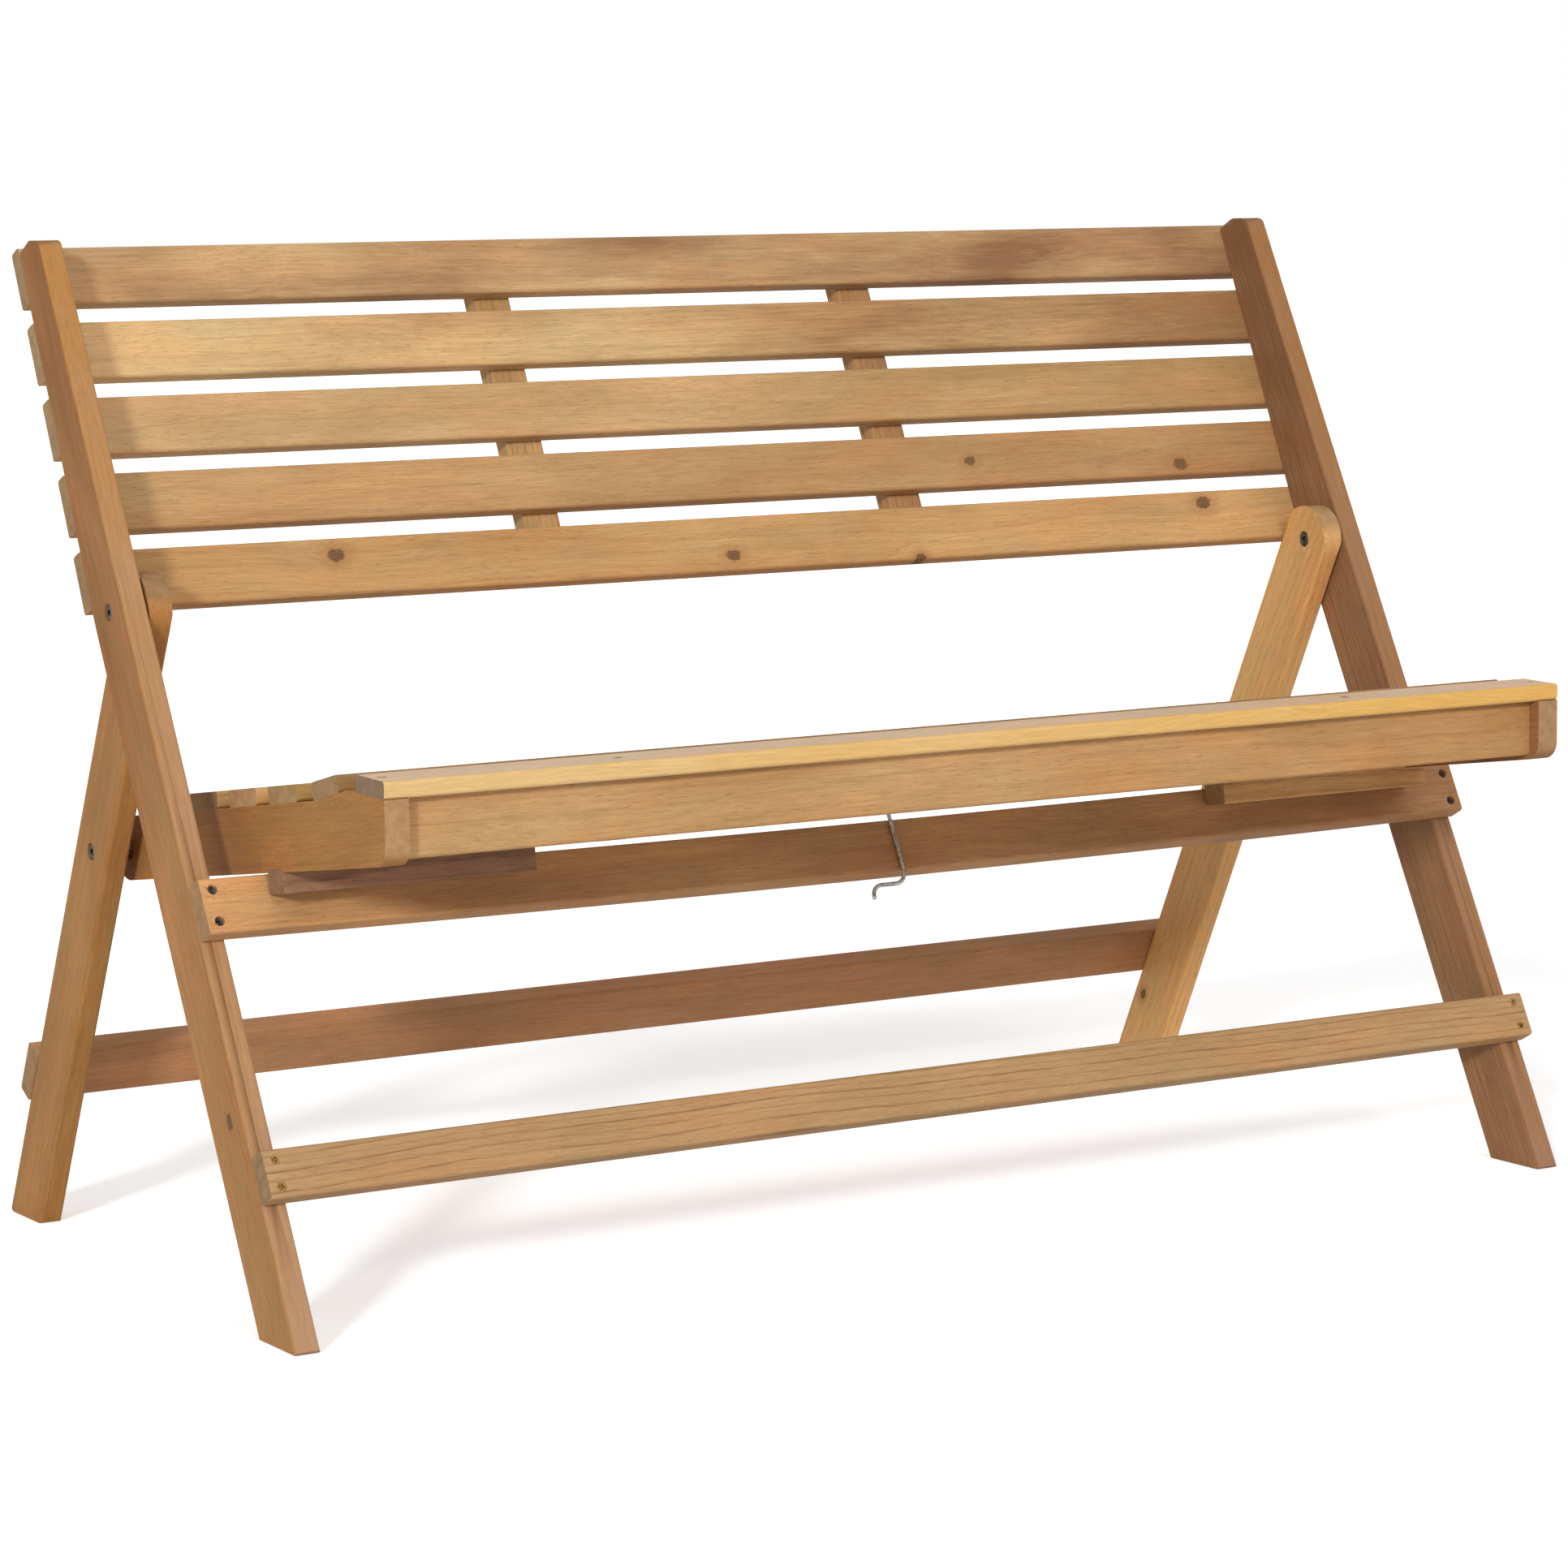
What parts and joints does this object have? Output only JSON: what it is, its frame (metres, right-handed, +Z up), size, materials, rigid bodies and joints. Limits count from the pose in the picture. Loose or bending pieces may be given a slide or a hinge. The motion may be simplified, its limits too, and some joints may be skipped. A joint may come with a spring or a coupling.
{
  "type": "folding bench",
  "caption": "Slatted wooden folding bench: leaning posts carry the backrest, a pivoted rear frame and a hinged seat rest on a crossbar, with a small wire latch hook.",
  "frame": {"origin": "middle of the bench's overall width and depth, on the floor", "axes": "+X along the bench's width to the sitter's left, which is the right of the picture; +Y from the seat's front to the back; +Z up"},
  "size_m": [1.2, 0.6776, 0.8195],
  "materials": {
    "front_frame_wood": "oiled",
    "rear_frame_wood": "oiled",
    "seat_wood": "oiled",
    "seat_frame_wood": "oiled",
    "dark_steel": "dull, darkened",
    "plated_screws": "yellow plated",
    "latch_wire": "plated wire"
  },
  "bodies": {
    "front_frame": {"post_left": "front_frame_wood", "post_right": "front_frame_wood", "back_slat_1": "front_frame_wood", "back_slat_2": "front_frame_wood", "back_slat_3": "front_frame_wood", "back_slat_4": "front_frame_wood", "back_slat_5": "front_frame_wood", "back_batten_left": "front_frame_wood", "back_batten_right": "front_frame_wood", "front_crossbar": "front_frame_wood", "lower_stretcher": "front_frame_wood", "crossbar_screws": "dark_steel", "stretcher_screws": "plated_screws", "back_slat_screws": "plated_screws", "batten_screws": "plated_screws", "frame_pivot_bolts": "dark_steel", "frame_pivot_nuts": "dark_steel", "frame_pivot_washers": "dark_steel"},
    "rear_frame": {"rear_leg_left": "rear_frame_wood", "rear_leg_right": "rear_frame_wood", "rear_stretcher": "rear_frame_wood", "rear_stretcher_screws": "plated_screws", "seat_pivot_bolts": "dark_steel", "seat_pivot_nuts": "dark_steel", "seat_pivot_spacers": "dark_steel"},
    "seat": {"seat_rail_left": "seat_frame_wood", "seat_rail_right": "seat_frame_wood", "seat_mid_rail_left": "seat_frame_wood", "seat_mid_rail_right": "seat_frame_wood", "seat_apron": "seat_frame_wood", "seat_slat_1": "seat_wood", "seat_slat_2": "seat_wood", "seat_slat_3": "seat_wood", "seat_slat_4": "seat_wood", "seat_slat_5": "seat_wood", "seat_slat_6": "seat_wood", "seat_slat_screws": "plated_screws", "seat_cleat_left": "seat_frame_wood", "seat_cleat_right": "seat_frame_wood", "cleat_screws": "plated_screws", "latch_eye": "latch_wire"},
    "latch": {"latch_hook": "latch_wire"}
  },
  "joints": [
    {"name": "frame_fold", "type": "hinge", "parent": "front_frame", "child": "rear_frame", "pos_m": [0, 0.0286, 0.53088], "axis": [-1, 0, 0], "range_deg": [0, 54.5]},
    {"name": "seat_fold", "type": "hinge", "parent": "rear_frame", "child": "seat", "pos_m": [0, 0.13447, 0.33008], "axis": [-1, 0, 0], "range_deg": [0, 50.5]},
    {"name": "hook_swing", "type": "hinge", "parent": "seat", "child": "latch", "pos_m": [0.0145, -0.10712, 0.38153], "axis": [-1, 0, 0], "range_deg": [0, 60]}
  ]
}
